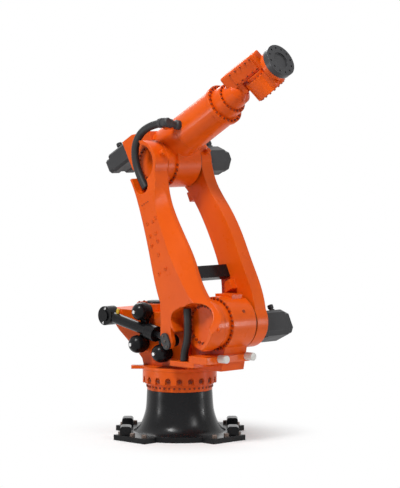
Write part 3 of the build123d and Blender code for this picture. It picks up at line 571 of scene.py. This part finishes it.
def wrist_screws():
    """Screws on the roll ring's front and on the two covers of the wrist's arm."""
    ring = ring_of(on_arm(ROLL_RING_ALONG, 0.0, 0.0), ARM_OUT, FAR, ROLL_RING_CIRCLE, ROLL_RING_COUNT)
    groups = [(ring, ARM_OUT, ROLL_RING_SCREW)]
    for side in (-1, 1):
        cover = []
        for along in COVER_ALONG:
            cover += [on_wrist(along, side * COVER_FACE, beside) for beside in COVER_BESIDE]
        groups.append((cover, side * WRIST_ACROSS, COVER_SCREW))
    screws("wrist_screws", "wrist", groups)


def hand_screws():
    """Screws on both faces of the drum and on the back of the flange housing, clear of the bridge."""
    face = on_wrist(BEND_ALONG, 0.0, DRUM_FACE)
    back = on_wrist(BEND_ALONG, 0.0, DRUM_BACK)
    centre = on_wrist(FLANGE_BACK_ALONG, 0.0, 0.0)
    front = ring_of(face, WRIST_SIDE, ARM_OUT, DRUM_CIRCLE, DRUM_COUNT)
    rear = ring_of(back, -WRIST_SIDE, ARM_OUT, DRUM_BACK_CIRCLE, DRUM_BACK_COUNT)
    ring = ring_of(centre, -ARM_OUT, WRIST_SIDE, FLANGE_BACK_CIRCLE, FLANGE_BACK_COUNT)
    clear = [point for point in ring if (point - centre).dot(WRIST_SIDE) > FLANGE_BACK_CLEAR]
    groups = [(front, WRIST_SIDE, DRUM_SCREW), (rear, -WRIST_SIDE, DRUM_BACK_SCREW),
              (clear, -ARM_OUT, FLANGE_BACK_SCREW)]
    screws("hand_screws", "hand", groups)


# Hoses: route points as offsets in X and Z from the elbow and from the shoulder, and the ribs
HOSE_RADIUS = 0.030
HOSE_SIDES = 20
LINE_STEPS = 40
RIB_PITCH = 0.011
RIB_DEPTH = 0.0026
UPPER_SIDE = -0.268
UPPER_OFFSETS = ((0.026, -0.186), (-0.078, -0.058), (-0.100, 0.150), (0.050, 0.284), (0.236, 0.300))
LOWER_SIDE = -0.240
LOWER_OFFSETS = ((-0.160, -0.2746), (-0.160, -0.205), (-0.112, -0.095), (-0.128, 0.115))
FITTING_START = 0.140
FITTING_PAST = 0.032
FITTING_RADIUS = 0.036
COLLAR_BACK = 0.055
COLLAR_LENGTH = 0.090
COLLAR_RADIUS = 0.037

upper_route = [ELBOW + Vector((x, UPPER_SIDE, z)) for x, z in UPPER_OFFSETS]
lower_route = [SHOULDER + Vector((x, LOWER_SIDE, z)) for x, z in LOWER_OFFSETS]


def route_line(name, points):
    """The smooth line of a hose through its route's points, as closely spaced points."""
    curve = bpy.data.curves.new(name, "CURVE")
    curve.dimensions = "3D"
    curve.resolution_u = LINE_STEPS
    spline = curve.splines.new("NURBS")
    spline.points.add(len(points) - 1)
    for point, place in zip(spline.points, points):
        point.co = (*place, 1.0)
    spline.order_u = 3
    spline.use_endpoint_u = True
    holder = bpy.data.objects.new(name, curve)
    scene.collection.objects.link(holder)
    bpy.context.view_layer.update()
    mesh = bpy.data.meshes.new_from_object(holder)
    line = [vertex.co.copy() for vertex in mesh.vertices]
    bpy.data.objects.remove(holder)
    bpy.data.curves.remove(curve)
    bpy.data.meshes.remove(mesh)
    return line


def along_line(line, distance):
    """The point and direction at a distance along a row of points."""
    for first, second in zip(line, line[1:]):
        step = (second - first).length
        if distance <= step:
            return first + (second - first) * (distance / step), (second - first).normalized()
        distance -= step
    return line[-1], (line[-1] - line[-2]).normalized()


def ribbed_hose(name, points, radius, node):
    """A ribbed hose along its route, in place of the model's hose part, which it hides."""
    line = route_line(name, points)
    length = sum((second - first).length for first, second in zip(line, line[1:]))
    steps = 2 * round(length / RIB_PITCH)
    shape = bmesh.new()
    loops = []
    for index in range(steps + 1):
        centre, ahead = along_line(line, length * index / steps)
        upward = ahead.cross(FAR)
        size = radius - (RIB_DEPTH if index % 2 else 0.0)
        loop = []
        for side in range(HOSE_SIDES):
            angle = 2 * math.pi * side / HOSE_SIDES
            outward = math.cos(angle) * FAR + math.sin(angle) * upward
            loop.append(shape.verts.new(centre + size * outward))
        loops.append(loop)
    skin(shape, loops)
    thing = mesh_object(name, shape, "hose_rubber")
    thing.data.shade_smooth()
    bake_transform(thing)
    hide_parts(node)


def hose_fitting():
    """The dark elbow that leads the upper hose's end into the forearm."""
    end = upper_route[-1]
    ahead = (end - upper_route[-2]).normalized()
    foot = ARM + (end - ARM).dot(ARM_OUT) * ARM_OUT
    outward = (end - foot).normalized()
    stub_length = (end - foot).length - (FITTING_START - FITTING_PAST)
    shape = bmesh.new()
    add_plug(shape, foot + FITTING_START * outward, outward, FITTING_RADIUS, stub_length)
    add_plug(shape, end - COLLAR_BACK * ahead, ahead, COLLAR_RADIUS, COLLAR_LENGTH)
    piece("hose_fitting", shape, "forearm", "dark_motor")


base_screws()
column_screws()
stop_plate()
link_screws()
motor_screws()
blade_bosses()
blade_plugs()
wrist_screws()
hand_screws()
balance_screws()
forearm_screws()
motor_connectors()
hose_fitting()
ribbed_hose("upper_hose_ribbed", upper_route, HOSE_RADIUS, "upper_hose")
ribbed_hose("lower_hose_ribbed", lower_route, HOSE_RADIUS, "lower_hose")


# Floor, lamps, surroundings and camera
FLOOR_REACH = 40.0
FLOOR_NOISE = (1.5, 4.0)
FLOOR_RANGE = (0.3, 0.7)
FLOOR_COLOUR = (0.93, 0.93, 0.93)
FLOOR_PALE = (0.96, 0.96, 0.96)
FLOOR_ROUGHNESS = 0.8
FADE_START = 0.25
FADE_END = 1.15
WORLD_LIGHT = 0.11
WORLD_SEEN = 1.0
# Each lamp: name, place, what it is aimed at, width, height, power, and whether it makes highlights only
LAMPS = (
    ("key", (0.8, -4.8, 8.2), (0.2, 0.0, 1.4), 1.8, 1.8, 600.0, False),
    ("fill", (7.5, 0.5, 4.5), (0.2, 0.0, 1.4), 2.2, 2.2, 150.0, False),
    ("rim", (-5.0, 3.0, 6.0), (0.0, 0.0, 1.6), 3.0, 3.0, 190.0, False),
    ("left_strip", (-2.4, -4.6, 0.7), (0.0, 0.0, 0.5), 0.30, 1.2, 48.0, True),
    ("right_strip", (4.2, 3.4, 0.7), (0.0, 0.0, 0.5), 0.40, 1.2, 48.0, True),
)
CAMERA_LENS = 178.0
CAMERA_SENSOR = 36.0
CAMERA_CLIP = 100.0
CAMERA_TURN = math.radians(45.0)
CAMERA_DISTANCE = 18.0
CAMERA_ASIDE = 0.152
CAMERA_HEIGHT = 2.58
TARGET_HEIGHT = 1.438


def aimed(place, target):
    """A placement at a point that looks at another."""
    aim = Vector(target) - Vector(place)
    return Matrix.Translation(place) @ aim.to_track_quat("-Z", "Y").to_matrix().to_4x4()


def seen_directly(tree):
    """One for rays from the camera and for its mirrored and refracted looks, else zero."""
    path = tree.nodes.new("ShaderNodeLightPath")
    total = path.outputs["Is Camera Ray"]
    for kind in ("Is Glossy Ray", "Is Transmission Ray"):
        total = combine(tree, "MAXIMUM", total, path.outputs[kind])
    return total


def pale_floor():
    """Wide pale floor that keeps the shadow near the robot and fades to white away from it."""
    mesh = bpy.data.meshes.new("floor")
    turns = ((-1, -1), (1, -1), (1, 1), (-1, 1))
    mesh.from_pydata([(x * FLOOR_REACH, y * FLOOR_REACH, 0.0) for x, y in turns], [], [(0, 1, 2, 3)])
    floor = bpy.data.objects.new("floor", mesh)
    scene.collection.objects.link(floor)
    material, tree, shader = new_tree("pale_floor")
    coordinates = tree.nodes.new("ShaderNodeTexCoord")
    drift = ramp(tree, noise(tree, coordinates, *FLOOR_NOISE), FLOOR_RANGE)
    link_socket(tree, mix_colour(tree, drift, FLOOR_COLOUR, FLOOR_PALE), shader.inputs["Base Color"])
    shader.inputs["Roughness"].default_value = FLOOR_ROUGHNESS
    glow = tree.nodes.new("ShaderNodeEmission")
    glow.inputs["Color"].default_value = (*WHITE, 1.0)
    glow.inputs["Strength"].default_value = 1.0
    away = tree.nodes.new("ShaderNodeVectorMath")
    away.operation = "LENGTH"
    link_socket(tree, coordinates.outputs["Object"], away.inputs[0])
    fade = tree.nodes.new("ShaderNodeMapRange")
    fade.interpolation_type = "SMOOTHSTEP"
    fade.inputs["From Min"].default_value = FADE_START
    fade.inputs["From Max"].default_value = FADE_END
    link_socket(tree, away.outputs["Value"], fade.inputs["Value"])
    blend = tree.nodes.new("ShaderNodeMixShader")
    factor = combine(tree, "MULTIPLY", fade.outputs["Result"], seen_directly(tree))
    link_socket(tree, factor, blend.inputs["Fac"])
    link_socket(tree, shader.outputs["BSDF"], blend.inputs[1])
    link_socket(tree, glow.outputs["Emission"], blend.inputs[2])
    link_socket(tree, blend.outputs["Shader"], tree.nodes["Material Output"].inputs["Surface"])
    mesh.materials.append(material)


def soft_box(name, place, target, width, height, power, glints_only):
    """A flat soft light aimed at a point, or one that shows only as a highlight on shiny paint."""
    lamp = bpy.data.lights.new(name, "AREA")
    lamp.shape = "RECTANGLE"
    lamp.size = width
    lamp.size_y = height
    lamp.energy = power
    holder = bpy.data.objects.new(name, lamp)
    scene.collection.objects.link(holder)
    holder.visible_diffuse = not glints_only
    holder.matrix_world = aimed(place, target)


def white_world():
    """Pale surroundings, white where they are seen."""
    world = bpy.data.worlds.new("studio")
    scene.world = world
    world.use_nodes = True
    tree = world.node_tree
    background = tree.nodes["Background"]
    background.inputs["Color"].default_value = (*WHITE, 1.0)
    strength = ramp(tree, seen_directly(tree), (0.0, 1.0), WORLD_LIGHT, WORLD_SEEN)
    link_socket(tree, strength, background.inputs["Strength"])


def photo_camera():
    """A long lens at the picture's angle."""
    lens = bpy.data.cameras.new("camera")
    lens.lens = CAMERA_LENS
    lens.sensor_width = CAMERA_SENSOR
    lens.clip_end = CAMERA_CLIP
    holder = bpy.data.objects.new("camera", lens)
    scene.collection.objects.link(holder)
    aside_x = CAMERA_ASIDE * math.cos(CAMERA_TURN)
    aside_y = CAMERA_ASIDE * math.sin(CAMERA_TURN)
    place = Vector((CAMERA_DISTANCE * math.sin(CAMERA_TURN) + aside_x,
                    -CAMERA_DISTANCE * math.cos(CAMERA_TURN) + aside_y, CAMERA_HEIGHT))
    holder.matrix_world = aimed(place, (aside_x, aside_y, TARGET_HEIGHT))
    scene.camera = holder


pale_floor()
white_world()
for lamp in LAMPS:
    soft_box(*lamp)
photo_camera()
scene.view_settings.view_transform = "Standard"
